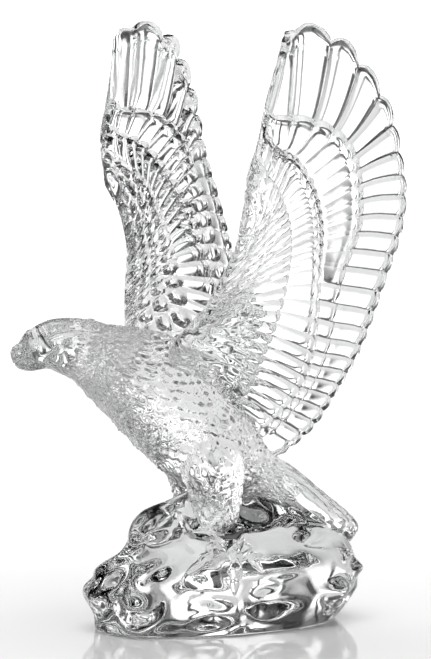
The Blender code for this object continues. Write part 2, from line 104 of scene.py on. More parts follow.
# Thicknesses and bulges in metres. The first feathers have the longest tips, and relief fades
# out where half the blade is thinner than the last of these.
ARM_THICKNESS = 0.0105
VANE_THICKNESS = 0.0052
EDGE_THICKNESS = 0.0030
TIP_BULGE = 0.0010
LONG_TIP_BULGE = 0.0033
LONG_TIP_FEATHER, LONG_TIP_SPREAD = 1.6, 2.8
THIN_HALF = 0.0012

# The rim rises in a straight bevel to its lip and rounds off. The bevel's width along the chord
# is given at two feathers.
RIM_LIP = 0.0009
RIM_ROUND = 0.015
BEVEL_FEATHERS, BEVEL_WIDTHS = (2, 6), (0.065, 0.11)

# Where the mould's steps and grooves fall within one feather and within one row, and close to
# the leading edge and the rim. A row swells at its end to a bead, drops over its lip, and bulges
# outward in the middle of each feather.
FEATHER_PLACES = np.array((0.0, 0.05, 0.10, 0.28, 0.50, 0.72, 0.90, 0.95))
STEP_PLACES = np.array((-0.06, -0.03, 0.0, 0.025, 0.05))
LEADING_PLACES = (0, 0.012, 0.04, 0.08, 0.13)
RIM_DISTANCES = np.array((0.16, 0.11, 0.075, 0.05, 0.03, 0.015, 0.006, 0.0))
GROOVE_HALF_WIDTH = 0.10
ROW_SOFT_START = 0.02
ROW_LIP = 0.03
ROW_BEAD, BEAD_WIDTH = 0.7, 0.03
ROW_BULGE, ROW_BULGE_REACH = 0.055, 0.16
ROW_STEP = 0.0013

# Heights of the underside's forms in metres. The second of a pair is added on bold feathers. The
# arm's scales are counted along the chord and across a feather, and the streaks across one.
ARM_SCALE_HEIGHT = 0.0009
ARM_SCALE_ROWS, ARM_SCALES_ACROSS, ARM_SCALE_TIP = 5.2, 1.5, 0.7
STREAK_HEIGHT = 0.0015
STREAKS_ACROSS, STREAK_SLANT = 3.5, 1.3
FLUTE_HEIGHT, BOLD_FLUTE_HEIGHT = 0.00045, 0.0008
SHORT_ROW_HEIGHT = 0.0006
OUTER_STEP = 0.00055
OUTER_DOME = 0.0003
GROOVE_DEPTH, BOLD_GROOVE_DEPTH = 0.0005, 0.00045

# Heights of the back's forms in metres, with what bold feathers add. Widths are parts of a
# feather or of the chord, and the cells are counted along the arm.
CELL_HEIGHT = 0.0025
CELL_ROWS = 4
CELL_FEATHERS, CELL_COUNTS = (-1, 8, 16, 26), (0, 7.5, 13.0, 17.5)
CELL_HALF_LENGTH, CELL_HALF_WIDTH = 0.82, 0.84
SHAFT_DEPTH, SHAFT_WIDTH = 0.00025, 0.07
VEE_HEIGHT = 0.0024
QUAD_HEIGHT = 0.0009
BEAD_HEIGHT, BEAD_PAST, BEAD_RADIUS = 0.0018, 0.12, 0.055
LOOP_HEIGHT, LOOP_CROWN = 0.0006, 0.0012
LOBE_HEIGHT, BOLD_LOBE_HEIGHT = 0.0002, 0.0012
BACK_GROOVE_DEPTH, BOLD_BACK_GROOVE_DEPTH = 0.0002, 0.0010

# The left blade is pressed deep on its underside and the right one on its back. Their other
# faces carry the same rows, at this part of the depth.
SHALLOW = 0.12


def spline(knots, values, at):
    """A natural cubic through values at knots: row n of `at` reads column n of `values`."""
    gap = np.diff(knots)[:, None, None]
    slope = np.diff(values, axis=0) / gap
    count = len(knots)
    system = np.eye(count)
    right = np.zeros_like(values)
    for i in range(1, count - 1):
        system[i, i - 1:i + 2] = gap[i - 1, 0, 0], 2 * (gap[i - 1, 0, 0] + gap[i, 0, 0]), gap[i, 0, 0]
        right[i] = 6 * (slope[i] - slope[i - 1])
    bend = np.linalg.solve(system, right.reshape(count, -1)).reshape(values.shape)
    i = np.clip(np.searchsorted(knots, at) - 1, 0, count - 2)
    column = np.arange(values.shape[1])[:, None]
    h = gap[i, 0]
    t = (at - knots[i])[..., None]
    low, high = bend[i, column], bend[i + 1, column]
    straight = values[i, column] + t * (slope[i, column] - h * (2 * low + high) / 6)
    return straight + t * t * low / 2 + t ** 3 * (high - low) / (6 * h)


def line_at(line, at):
    """Points of a control line whose rows start with their place along it."""
    rows = np.array(line, float)
    return spline(rows[:, 0], rows[:, None, 1:], np.asarray(at, float)[None])[0]


def unit(vectors):
    """Vectors brought to length one."""
    return vectors / np.maximum(np.linalg.norm(vectors, axis=-1, keepdims=True), 1e-12)


def ease(low, high, value):
    """Nought below `low`, one above `high`, and an S-shaped cubic between them."""
    t = np.clip((value - low) / (high - low), 0, 1)
    return t * t * (3 - 2 * t)


def crown(place, power):
    """A pillow across each whole step of `place`: one in its middle, nought at its two ends."""
    return 1 - np.abs(2 * (place % 1) - 1) ** power


def scales(along, around, tip):
    """Overlapping scales, 0 to 1 high: each rises to a rounded tip over the roots of the next row.

    A scale is two rows long and one step wide, every other row is half a step aside, and the
    highest of the two that meet at a point is seen. Its end draws back as `tip` times the square
    of the way aside, and its sides fall off as that square."""
    height = np.zeros(np.broadcast(along, around).shape)
    for row in (0, 1):
        v = (along + row) % 2
        u = np.abs(2 * ((around + row / 2) % 1) - 1)
        reach = 1.9 - tip * u ** 2
        inside = ease(0, 0.22, reach - v)
        height = np.maximum(height, inside * (0.15 + 0.85 * v / reach) * (1 - 0.7 * u ** 2))
    return height


POLISHED, STIPPLED, COMBED = 0, 1, 2


def piece_of(name, points, faces, finish):
    """An object from points and faces, with the number of each face's finish."""
    mesh = bpy.data.meshes.new(name)
    mesh.from_pydata(points, [], faces)
    mesh.polygons.foreach_set("material_index", finish.astype(np.int32))
    mesh.update()
    thing = bpy.data.objects.new(name, mesh)
    bpy.context.scene.collection.objects.link(thing)
    return thing


def grid_faces(rows, columns, wrap):
    """Four-cornered faces of a grid of points, closed round its columns where `wrap` is true."""
    i = np.arange(rows - 1)[:, None]
    j = np.arange(columns if wrap else columns - 1)[None]
    k = (j + 1) % columns
    corners = [i * columns + j, (i + 1) * columns + j, (i + 1) * columns + k, i * columns + k]
    return np.stack(np.broadcast_arrays(*corners), axis=-1).reshape(-1, 4)


def sheet(name, front, back, front_finish, back_finish):
    """A closed sheet from a front and a back grid, joined along their four edges."""
    rows, columns = front.shape[:2]
    faces = grid_faces(rows, columns, False)
    far = rows * columns
    border = np.concatenate([np.arange(rows) * columns,
                             (rows - 1) * columns + np.arange(1, columns),
                             np.arange(rows - 2, -1, -1) * columns + columns - 1,
                             np.arange(columns - 2, 0, -1)])
    after = np.roll(border, -1)
    rim = np.stack([after, border, border + far, after + far], axis=-1)
    points = np.concatenate([front.reshape(-1, 3), back.reshape(-1, 3)])
    every = np.concatenate([faces, faces[:, ::-1] + far, rim])
    a, b, c = (points[every[:, n]] for n in (0, 1, 2))
    if np.einsum("ij,ij->", a, np.cross(b - a, c - a)) < 0:
        every = every[:, ::-1]
    finish = np.concatenate([front_finish[:-1, :-1].ravel(), back_finish[:-1, :-1].ravel(),
                             np.full(len(rim), POLISHED)])
    return piece_of(name, points, every, finish)


def row_of(chord, start, end):
    """A row of feathers across the chord: it rises to a beaded lip and drops in a rounded step.

    The rise starts at a fifth of its height and grows as a power of the way along the row, and
    the bead on its end is a bell curve."""
    ramp = np.clip((chord - start) / (end - start), 0, 1)
    rise = (0.2 + 0.8 * ramp ** 0.8) * ease(start - ROW_SOFT_START, start + ROW_SOFT_START, chord)
    bead = ROW_BEAD * np.exp(-((chord - end + BEAD_WIDTH) / BEAD_WIDTH) ** 2)
    return (rise + bead) * ease(end + ROW_LIP, end, chord)


def shifted(chord, feather, ends):
    """Chord places moved outward near each row's end, so that the row ends in rounded tips.

    The move is a pillow across each feather and a bell curve about the end, and it fades out
    towards the leading edge."""
    moved = chord + 0 * feather
    for end in ends:
        near = np.exp(-((chord - end) / ROW_BULGE_REACH) ** 2)
        moved = moved + ROW_BULGE * crown(feather, 2.4) * near * np.clip(feather / 3 + 0.4, 0, 1)
    return moved


def wing_core(feather, chord):
    """The blade's middle surface and its normals, for a column of feather places and chord places.

    A cubic along the chord runs through the five control lines, of which the last bulges out at
    each feather's tip. The normals are averaged with their neighbours in several passes."""
    lines = [line_at(line, feather) * SHARE for line in WING_LINES]
    long_tips = np.exp(-((feather - LONG_TIP_FEATHER) / LONG_TIP_SPREAD) ** 2)
    tip = (TIP_BULGE + LONG_TIP_BULGE * long_tips) * crown(feather, 2.2) * ease(0.7, 1.2, feather)
    lines[4] = lines[4] + unit(lines[4] - lines[3]) * tip[:, None]
    core = spline(WING_KNOTS, np.stack(lines), chord)
    normal = unit(np.cross(np.gradient(core, axis=0), np.gradient(core, axis=1)))
    for _ in range(SMOOTHING_PASSES):
        normal[1:-1] = (normal[:-2] + 2 * normal[1:-1] + normal[2:]) / 4
        normal[:, 1:-1] = (normal[:, :-2] + 2 * normal[:, 1:-1] + normal[:, 2:]) / 4
        normal = unit(normal)
    return core, normal


def half_thickness(feather, chord):
    """Half the blade's thickness: stout at the arm and the root, with rounded rims.

    It passes from arm to vane to edge in S-shaped steps, and each grows towards the root. The
    bevel adds a straight rise, and the rim and the leading edge close in quarter circles."""
    root = np.clip((feather - 6) / (LAST_FEATHER - 6), 0, 1)
    arm = ARM_THICKNESS * (0.31 + 0.42 * root ** 1.5)
    vane = VANE_THICKNESS * (0.42 + 0.25 * root)
    edge = EDGE_THICKNESS * (0.5 + 0.25 * root)
    inner = np.sqrt(np.clip(1 - (1 - np.clip(chord / 0.5, 0, 1)) ** 2, 0, 1))
    half = arm * (0.06 + 0.94 * inner) + (vane - arm) * ease(0.9, COVERT + 0.1, chord)
    half = half + (edge - vane) * ease(MIDDLE, EDGE - 0.15, chord)
    rim = np.clip((EDGE - chord) / RIM_ROUND, 0, 1)
    bevel = np.interp(feather, BEVEL_FEATHERS, BEVEL_WIDTHS)
    lip = RIM_LIP * np.clip((chord - EDGE + bevel + 0.01) / bevel, 0, 1) * ease(-0.6, 0.8, feather)
    half = (half + lip) * np.sqrt(np.clip(1 - (1 - rim) ** 2, 0.004, 1))
    lead = np.clip((feather - FIRST_FEATHER) / 0.35, 0, 1)
    bury = np.clip((LAST_FEATHER - feather) / 4, 0, 1)
    return half * (0.05 + 0.95 * np.sqrt(1 - (1 - lead) ** 2)) * (0.35 + 0.65 * bury)


def outer_place(feather):
    """Feather places of the outermost row, whose first feather is two steps wide."""
    return np.where(feather < 1, (feather + 1) / 2, feather)


def outer_groove(feather, chord, start):
    """V-shaped grooves between the outer feathers, 1 deep, which run out at the rim."""
    aside = np.abs((outer_place(feather) + 0.5) % 1 - 0.5)
    length = ease(start - 0.1, start + 0.1, chord) * ease(EDGE + 0.01, EDGE - 0.05, chord)
    return np.clip(1 - aside / GROOVE_HALF_WIDTH, 0, 1) * length


def arm_cells(feather, chord):
    """Flat-topped ovals, 1 high, in staggered rows along the arm, which grow towards the root.

    The ovals are level sets of the sum of two squares, one along the chord and one across it."""
    row = chord / ARM * CELL_ROWS
    along = np.interp(feather, CELL_FEATHERS, CELL_COUNTS) + 0.5 * (np.floor(row) % 2)
    oval = ((2 * (row % 1) - 1) / CELL_HALF_LENGTH) ** 2 + ((2 * (along % 1) - 1) / CELL_HALF_WIDTH) ** 2
    return ease(1.02, 0.72, oval) * ease(ARM + 0.01, ARM - 0.02, chord)


def underside_relief(feather, chord):
    """The outward face: arm plumage, two rows of fluted coverts and the long outer feathers.

    Each form is its height times a shape across the feather and a window along the chord. Flutes
    are bold at the tip and the root, grooves at the tip, and the third row stops half way."""
    third = ease(LAST_MIDDLE_FEATHER, LAST_MIDDLE_FEATHER - 1.5, feather)
    broad = ease(8, 6, feather)
    arm_scales = scales(chord * ARM_SCALE_ROWS, feather * ARM_SCALES_ACROSS, ARM_SCALE_TIP)
    arm_scales = arm_scales * ARM_SCALE_HEIGHT * ease(0.1, 0.35, chord) * ease(14, 9, feather)
    streaks = STREAK_HEIGHT * np.sin(feather * 2 * np.pi * STREAKS_ACROSS + chord * STREAK_SLANT)
    streaks = streaks * ease(-0.1, -0.4, feather) * ease(EDGE - 0.1, EDGE - 0.5, chord)
    arm_part = ease(ARM, ARM - 0.06, chord)
    bold = ease(5, 1, feather) + ease(14, 18, feather)
    flute = (FLUTE_HEIGHT + BOLD_FLUTE_HEIGHT * bold) * crown(feather, 2.6)
    short = row_of(chord, SHORT_ROW_START, ARM + SHORT_ROW_PAST)
    short = short * (SHORT_ROW_HEIGHT + SHORT_ROW_HEIGHT * crown(feather, 2.2))
    coverts = row_of(chord, ARM + SHORT_ROW_PAST, COVERT) * (ROW_STEP + flute)
    middles = row_of(chord, COVERT, MIDDLE) * (ROW_STEP + 0.7 * flute) * third
    start = COVERT + (MIDDLE - COVERT) * third
    groove = outer_groove(feather, chord, start)
    step = OUTER_STEP * (outer_place(feather) % 1) * broad
    dome = OUTER_DOME * crown(outer_place(feather), 2.5)
    long_part = ease(start - 0.02, start + 0.03, chord)
    return (arm_part * arm_scales + streaks * ease(1.2, 2.2, chord) + short + coverts + middles
            + long_part * (dome + step) - groove * (GROOVE_DEPTH + BOLD_GROOVE_DEPTH * broad))


def back_relief(feather, chord):
    """The inward face: pebbled arm cells, two rows of coverts, beads, loops and bold outer feathers.

    Each form is its height times a shape across the feather and a window along the chord. The
    outer feathers are bold towards the tip, where the beads and the loops give way to them."""
    cells = CELL_HEIGHT * arm_cells(feather, chord)
    shaft = SHAFT_DEPTH * np.exp(-((feather % 1 - 0.5) / SHAFT_WIDTH) ** 2)
    vee = VEE_HEIGHT * crown(feather, 1.6) - shaft
    coverts = row_of(chord, ARM, COVERT) * (ROW_STEP + vee)
    quads = row_of(chord, COVERT, MIDDLE) * (ROW_STEP + QUAD_HEIGHT * crown(feather, 5))
    beads = BEAD_HEIGHT * np.exp(-((chord - MIDDLE - BEAD_PAST) / BEAD_RADIUS) ** 2) * crown(feather, 2)
    bold = ease(8, 5, feather)
    loops = row_of(chord, MIDDLE + 0.2, LOOP_END) * (LOOP_HEIGHT + LOOP_CROWN * crown(feather, 2.2)) * bold
    inner_part = ease(3, 5, feather)
    long_part = ease(LOOP_END - 0.1, LOOP_END + 0.06, chord) + ease(MIDDLE, MIDDLE + 0.2, chord) * bold
    long_part = np.clip(long_part, 0, 1)
    groove = outer_groove(feather, chord, MIDDLE)
    lobes = (LOBE_HEIGHT + BOLD_LOBE_HEIGHT * bold) * crown(outer_place(feather), 2.0)
    return (cells + coverts + quads + (beads + loops) * inner_part * (1 - 0.6 * bold)
            + long_part * lobes - groove * (BACK_GROOVE_DEPTH + BOLD_BACK_GROOVE_DEPTH * bold))


def wing(side):
    """One blade: the two faces stand off the middle surface by half the thickness and the relief."""
    whole = np.arange(FIRST_FEATHER, LAST_FULL_FEATHER)[:, None] + FEATHER_PLACES
    feather = np.append(whole.ravel(), BURIED_FEATHERS)[:, None]
    chord = np.concatenate([
        LEADING_PLACES, np.linspace(0.18, 1.34, 20), ARM + STEP_PLACES[1:] + SHORT_ROW_PAST,
        np.linspace(1.64, COVERT - 0.12, 4), COVERT + STEP_PLACES,
        np.linspace(COVERT + 0.12, MIDDLE - 0.12, 4), MIDDLE + STEP_PLACES,
        np.linspace(MIDDLE + 0.11, LOOP_END - 0.1, 4), LOOP_END + STEP_PLACES,
        np.linspace(LOOP_END + 0.1, EDGE - 0.22, 2), EDGE - RIM_DISTANCES])[None]
    faces = []
    for relief, direction, ends in ((underside_relief, 1, (ARM, COVERT, MIDDLE)),
                                    (back_relief, -1, (COVERT, MIDDLE, LOOP_END))):
        # The points follow the scalloped ends of the rows, while the relief reads the plain chord.
        moved = shifted(chord, feather, ends)
        core, normal = wing_core(feather[:, 0], moved)
        half = half_thickness(feather, moved)
        raised = relief(feather, chord + 0 * feather) * (1.0 if direction == side else SHALLOW)
        fade = np.clip(half / THIN_HALF, 0, 1) * ease(LAST_FEATHER, LAST_FEATHER - 3, feather)
        faces.append(core + direction * normal * (half + raised * fade)[..., None])
    mirror = np.array([side, 1, 1])
    # The deep face alone is stippled: the arm's plumage and the leading edge on the underside, the
    # walls between the cells on the back, and the broad grooves on both.
    leading = (feather < -0.45) & (chord < EDGE - 0.2)
    sunk = (outer_groove(feather, chord, MIDDLE) > 0.6) & (feather < 7)
    plumage = (chord < SHORT_ROW_START) & (feather < 12) | leading | sunk
    cell_walls = (arm_cells(feather, chord) < 0.35) & (chord < ARM) & (feather > 3) | sunk
    plain = np.zeros_like(cell_walls)
    stipples = (plumage, plain) if side > 0 else (plain, cell_walls)
    finishes = [np.where(stipple, STIPPLED, POLISHED) for stipple in stipples]
    return sheet(f"wing_{side}", faces[0] * mirror, faces[1] * mirror, *finishes)


# Beak, head, neck and body: one tube along a spine, with lance-shaped feathers on the neck that
# grow short on the breast. The plumage starts at the eye. The beak and the brows are
# fire-polished, the head and the neck are combed, and the body is stippled.

# Rows of the spine from beak to rump: y and z, then half height and half width, in shares.
SPINE = ((-87.7, 109.4, 1.5, 1.0), (-86.8, 109.5, 2.8, 2.0), (-84.6, 109.0, 5.0, 3.2),
         (-80.8, 109.2, 6.9, 4.8), (-76.0, 110.8, 8.2, 7.0), (-70.0, 111.9, 9.8, 8.8),
         (-62.0, 110.7, 11.1, 10.2), (-54.0, 108.2, 12.3, 12.0), (-46.0, 104.1, 14.9, 14.6),
         (-36.6, 99.2, 18.2, 18.2), (-26.0, 93.6, 21.0, 21.6), (-15.0, 84.6, 22.0, 23.2),
         (-4.0, 73.4, 20.6, 22.6), (6.0, 64.6, 17.2, 19.5), (16.0, 59.0, 12.0, 16.0),
         (27.0, 53.0, 7.5, 12.5), (36.0, 47.0, 4.0, 10.0))
BODY_SPOKES = 160
BEAK_TIP_PLACES = (0, 0.002, 0.005)
SLOPE_STEP = 0.002
BEAK_END, NECK_END = 0.05, 0.44

# Plumage: where it rises and reaches its full depth as parts of the spine, its depth, and the
# length of its rows at places along the spine, both in metres.
PLUMAGE_START, PLUMAGE_FULL = 0.125, 0.21
PLUMAGE_RELIEF = 0.0017
ROW_LENGTH_PLACES, ROW_LENGTHS = (0.0, 0.18, 0.34, 0.50), (0.0030, 0.0040, 0.0048, 0.0034)
BODY_FEATHERS_AROUND = 32
HACKLE_TIP = 1.1

# Waves: height, length in metres and seed. Three carry the feathers along and aside by parts of
# a feather, one varies their depth, and the last is the down between them, in metres.
WANDER, FINE_WANDER, SIDE_WANDER = (0.45, 0.030, 3), (0.18, 0.011, 4), (0.30, 0.022, 5)
DEPTH_WAVES = (0.35, 0.012, 6)
DOWN_WAVES = (0.00018, 0.0052, 8)

# The head's marks: places are x, y, z or y, z in shares, and so is the cere's width. The hook's
# spread is a part of the spine, and the other depths and widths are in metres.
HOOK_DROP, HOOK_SPREAD = 0.0010, 0.009
GAPE_LINE = ((-86.4, 105.2), (-84.0, 104.3), (-81.5, 104.4), (-78.5, 105.6))
GAPE_DEPTH, GAPE_WIDTH = 0.0010, 0.00060
NOSTRIL = (-80.6, 111.6)
NOSTRIL_DEPTH, NOSTRIL_WIDTH = 0.0007, 0.0008
CERE_PLACE, CERE_HALF_WIDTH = -80.2, 0.9
CERE_HEIGHT = 0.0004
BROW_LINE = ((6.0, -76.2, 114.6, 0.9), (6.9, -72.4, 116.0, 1.7), (7.6, -68.0, 116.8, 1.9),
             (7.8, -63.5, 116.6, 0.9))
EYE_PLACE = (7.6, -71.8, 110.8)
EYE_RADIUS = 0.0023
SOCKET_DEPTH, SOCKET_WIDTH = 0.0014, 0.0034


def ripple(points, height, wavelength, seed):
    """Smooth waves of about `height` either way: a sum of seven sines in fixed directions."""
    random = np.random.default_rng(seed)
    total = 0
    for _ in range(7):
        direction = unit(random.normal(size=3)) * random.uniform(0.7, 1.4)
        total = total + np.sin(points @ direction * (2 * np.pi / wavelength) + random.uniform(0, 6.3))
    return height * (total / 3.2)


def tube(name, rings, finish):
    """A closed tube from rings of points, with a point closing each end."""
    count, around = rings.shape[:2]
    points = np.concatenate([rings.reshape(-1, 3), rings[:1].mean(axis=1), rings[-1:].mean(axis=1)])
    j = np.arange(around)
    k = (j + 1) % around
    last = (count - 1) * around
    caps = np.concatenate([np.stack([j * 0 + count * around, j, k], axis=-1),
                           np.stack([j * 0 + count * around + 1, last + k, last + j], axis=-1)])
    sides = grid_faces(count, around, True)
    a, b, c = (points[sides[:, n]] for n in (0, 1, 2))
    if np.einsum("ij,ij->", a - rings.mean(axis=(0, 1)), np.cross(b - a, c - a)) < 0:
        sides, caps = sides[:, ::-1], caps[:, ::-1]
    faces = [tuple(f) for f in sides] + [tuple(f) for f in caps]
    finish = np.concatenate([np.repeat(finish[:-1], around), np.full(2 * around, POLISHED)])
    return piece_of(name, points, faces, finish)


def limb(name, centres, radii, around, swell=0.0, finish=POLISHED):
    """Circles square to a path of points; `swell` is the plumage that stands off them."""
    tangent = unit(np.gradient(centres, axis=0))
    side = unit(np.cross(tangent, np.array([0.12, 1.0, 0.3])))
    up = np.cross(side, tangent)
    angle = np.arange(around) / around * 2 * np.pi
    out = np.cos(angle)[None, :, None] * side[:, None] + np.sin(angle)[None, :, None] * up[:, None]
    rings = centres[:, None] + out * (radii[:, None] + swell)[..., None]
    return tube(name, rings, np.full(len(centres), finish))


def body():
    """Ellipses square to the spine, pushed out by the plumage and in at the gape and the eyes.

    The plumage is scales whose rows follow the length along the spine. The gape is a groove along
    a line in side view, and the nostrils and sockets are round dents: each is a bell curve of the
    distance from its line or its middle. The hook bends the beak's tip down, its lower side most."""
    rows = np.array(SPINE) * SHARE
    knots = np.concatenate([[0], np.cumsum(np.linalg.norm(np.diff(rows[:, :2], axis=0), axis=1))])
    length = knots[-1]
    places = np.concatenate([BEAK_TIP_PLACES, np.linspace(0.009, 0.165, 42), np.linspace(0.17, 1, 150)])
    here, ahead, behind = (
        spline(knots, rows[:, None], (np.clip(places + step, 0, 1) * length)[None])[0]
        for step in (0, SLOPE_STEP, -SLOPE_STEP))
    tangent = unit(ahead[:, :2] - behind[:, :2])
    angle = np.arange(BODY_SPOKES) / BODY_SPOKES * 2 * np.pi
    up = here[:, 2:3] * np.cos(angle)
    wide = here[:, 3:4] * np.sin(angle)
    rings = np.stack([wide, here[:, 0:1] - tangent[:, 1:2] * up,
                      here[:, 1:2] + tangent[:, 0:1] * up], axis=-1)
    centre = rings.mean(axis=1, keepdims=True)
    outward = unit(rings - centre)

    along = places * length
    row_length = np.interp(places, ROW_LENGTH_PLACES, ROW_LENGTHS)
    row = np.concatenate([[0], np.cumsum(np.diff(along) / row_length[1:])])
    wander = ripple(rings, *WANDER) + ripple(rings, *FINE_WANDER)
    aside = (angle / (2 * np.pi) * BODY_FEATHERS_AROUND)[None] + ripple(rings, *SIDE_WANDER)
    feathers = scales(row[:, None] + wander, aside, HACKLE_TIP) * (0.8 + ripple(rings, *DEPTH_WAVES))
    growth = np.interp(places, (0.13, 0.30), (0.6, 1.0))
    cover = ease(PLUMAGE_START, PLUMAGE_FULL, places)[:, None] * growth[:, None]
    raised = PLUMAGE_RELIEF * (feathers - 0.35) * cover

    # The head's own marks are read in side view, so both sides get them alike.
    side_view = rings[..., 1:]
    gape = np.full(rings.shape[:2], 1.0)
    mouth = np.array(GAPE_LINE) * SHARE
    for a, b in zip(mouth[:-1], mouth[1:]):
        t = np.clip(((side_view - a) @ (b - a)) / ((b - a) @ (b - a)), 0, 1)[..., None]
        gape = np.minimum(gape, np.linalg.norm(side_view - a - t * (b - a), axis=-1))
    off_middle = ease(0.0006, 0.0018, np.abs(rings[..., 0]))
    raised = raised - GAPE_DEPTH * np.exp(-(gape / GAPE_WIDTH) ** 2) * ease(0.12, 0.05, places)[:, None]
    nostril = np.linalg.norm(side_view - np.array(NOSTRIL) * SHARE, axis=-1)
    raised = raised - NOSTRIL_DEPTH * np.exp(-(nostril / NOSTRIL_WIDTH) ** 2) * off_middle
    both_sides = np.concatenate([np.abs(rings[..., :1]), side_view], axis=-1)
    eye = np.linalg.norm(both_sides - np.array(EYE_PLACE) * SHARE, axis=-1)
    raised = raised - SOCKET_DEPTH * np.exp(-(eye / SOCKET_WIDTH) ** 2)
    cere = np.exp(-((rings[..., 1] / SHARE - CERE_PLACE) / CERE_HALF_WIDTH) ** 2)
    cere = cere * ease(0.105, 0.112, rings[..., 2])
    raised = raised + CERE_HEIGHT * cere * off_middle
    down = ripple(rings, *DOWN_WAVES) * ease(0.10, 0.20, places)[:, None]
    rings = rings + outward * (raised + down)[..., None]

    hook = np.exp(-(places / HOOK_SPREAD) ** 2)[:, None]
    rings[..., 2] -= HOOK_DROP * hook * (0.3 + 0.7 * np.clip(-np.cos(angle), 0, 1)[None])
    finish = np.where(places < BEAK_END, POLISHED, np.where(places < NECK_END, COMBED, STIPPLED))
    return tube("beak_head_body", rings, finish)


def ball(name, centre, radius, spokes=24):
    """A sphere: circles whose radius is the sine, and height the cosine, of the fall from its top."""
    fall = np.linspace(0.03, 0.97, 13) * np.pi
    angle = np.arange(spokes) / spokes * 2 * np.pi
    out = np.stack([np.sin(fall)[:, None] * np.cos(angle), np.sin(fall)[:, None] * np.sin(angle),
                    np.cos(fall)[:, None] + 0 * angle], axis=-1)
    return tube(name, centre + radius * out, np.full(len(fall), POLISHED))


def brow(side):
    """The ridge that shades the eye: circles along a cubic through the brow's four points."""
    rows = spline(np.arange(4.0), np.array(BROW_LINE)[:, None] * SHARE, np.linspace(0, 3, 16)[None])[0]
    return limb(f"brow_{side}", rows[:, :3] * np.array([side, 1, 1]), rows[:, 3], 16)


# Tail: eight long feathers in one arched fan, ridged lengthwise, with a solid keel below that
# runs into the rock, because the mould can't part the tail from it.
TAIL_LINE = ((14.0, 70.0), (24.0, 64.8), (34.0, 58.8), (45.0, 50.2), (54.0, 43.4), (61.0, 36.6),
             (64.0, 31.0))
TAIL_THICKNESS = 0.0060
TAIL_ROOT_WIDTH = 0.024
TAIL_END_WIDTH = 0.036
TAIL_ARCH = 0.009
TAIL_ROUNDING = 0.36
TAIL_KEEL = 1.3
TAIL_TIP_BULGE = 0.035
TAIL_FEATHERS = 8
TAIL_ROWS = 34
ROUND_END_START, ROUND_END_LENGTH = 0.93, 0.07
# Heights of a feather's ridge, its lap over the next one, its barbs and the ridge below, in metres.
TAIL_RIDGE, TAIL_LAP, TAIL_BARB, TAIL_LOWER_RIDGE = 0.0018, 0.0006, 0.00012, 0.0004
BARB_WAVES, BARB_SLANT = 150, 9


def tail():
    """A fan whose places run from rump to tip, with each feather's ridge and its lapping step.

    The fan is shorter towards its sides and sags there by the square of the way across. The keel
    below thickens it by one less that square, and its end closes in a quarter circle."""
    rows = np.array(TAIL_LINE) * SHARE
    knots = np.concatenate([[0], np.cumsum(np.linalg.norm(np.diff(rows, axis=0), axis=1))])
    whole = np.arange(TAIL_FEATHERS)[:, None] + FEATHER_PLACES
    feather = np.append(whole.ravel(), TAIL_FEATHERS)
    across = 2 * feather / TAIL_FEATHERS - 1
    along = 1 - (1 - np.linspace(0, 1, TAIL_ROWS)) ** 1.15
    reach = 1 - TAIL_ROUNDING * np.abs(across) ** 1.7 + crown(feather, 2.2) * TAIL_TIP_BULGE
    places = np.outer(reach, along)
    flat = spline(knots, rows[:, None], places.ravel()[None] * knots[-1])[0].reshape(*places.shape, 2)
    width = TAIL_ROOT_WIDTH + (TAIL_END_WIDTH - TAIL_ROOT_WIDTH) * places
    z = flat[..., 1] - TAIL_ARCH * across[:, None] ** 2 * (0.5 + 0.5 * places)
    top = np.stack([across[:, None] * width / 2, flat[..., 0], z], axis=-1)
    normal = unit(np.cross(np.gradient(top, axis=1), np.gradient(top, axis=0)))
    normal = normal * np.sign(normal[..., 2:3])
    lap = TAIL_LAP * (np.where(across < 0, 1 - feather % 1, feather % 1) - 0.5)
    ridge = TAIL_RIDGE * (crown(feather, 2.2) - 0.5) + lap
    past = np.clip(along - ROUND_END_START, 0, 1) / ROUND_END_LENGTH
    round_end = np.sqrt(np.clip(1 - past ** 2, 0, 1))[None]
    slant = BARB_SLANT * np.abs((feather % 1)[:, None] - 0.5)
    barbs = TAIL_BARB * np.sin(along[None] * BARB_WAVES + slant)
    front = top + normal * ((ridge[:, None] + barbs) * round_end)[..., None]
    front = front - normal * (TAIL_THICKNESS / 2 * (1 - round_end))[..., None]
    thickness = TAIL_THICKNESS * (1 + TAIL_KEEL * (1 - across ** 2))[:, None]
    keel = thickness - TAIL_THICKNESS / 2 * (1 - round_end)
    back = top - normal * (keel + TAIL_LOWER_RIDGE * crown(feather, 1.6)[:, None])[..., None]
    polished = np.full(places.shape, POLISHED)
    return sheet("tail", front, back, polished, polished)


# Legs and feet: a feathered thigh that tapers to a bare shank, and three toes with talons that
# are half sunk in the rock's side. The right leg stands a little behind the left one.

# Rows of a leg from hip to foot: y, z and radius in shares. Its plumage ends between two of them.
LEG_LINE = ((-13.0, 82.0, 6.0), (-10.0, 71.0, 11.6), (-7.6, 61.0, 11.8), (-6.4, 53.0, 10.0),
            (-6.6, 46.0, 8.8), (-7.0, 41.0, 7.6), (-7.0, 37.0, 5.0), (-7.0, 31.0, 4.2),
            (-7.0, 26.0, 4.0))
LEG_SPACING = 0.026
FAR_LEG_SETBACK = 0.0065
LEG_SPOKES = 60
THIGH_FEATHERS_AROUND, THIGH_ROWS, THIGH_TIP = 12, 2.1, 1.3
THIGH_RELIEF = 0.0014
SHANK_START, THIGH_FULL = 5.6, 4.6
THIGH_FEATHER_WIDTH = 0.004
THIGH_WANDER, THIGH_SIDE_WANDER = (0.35, 0.02, 11), (0.3, 0.016, 12)
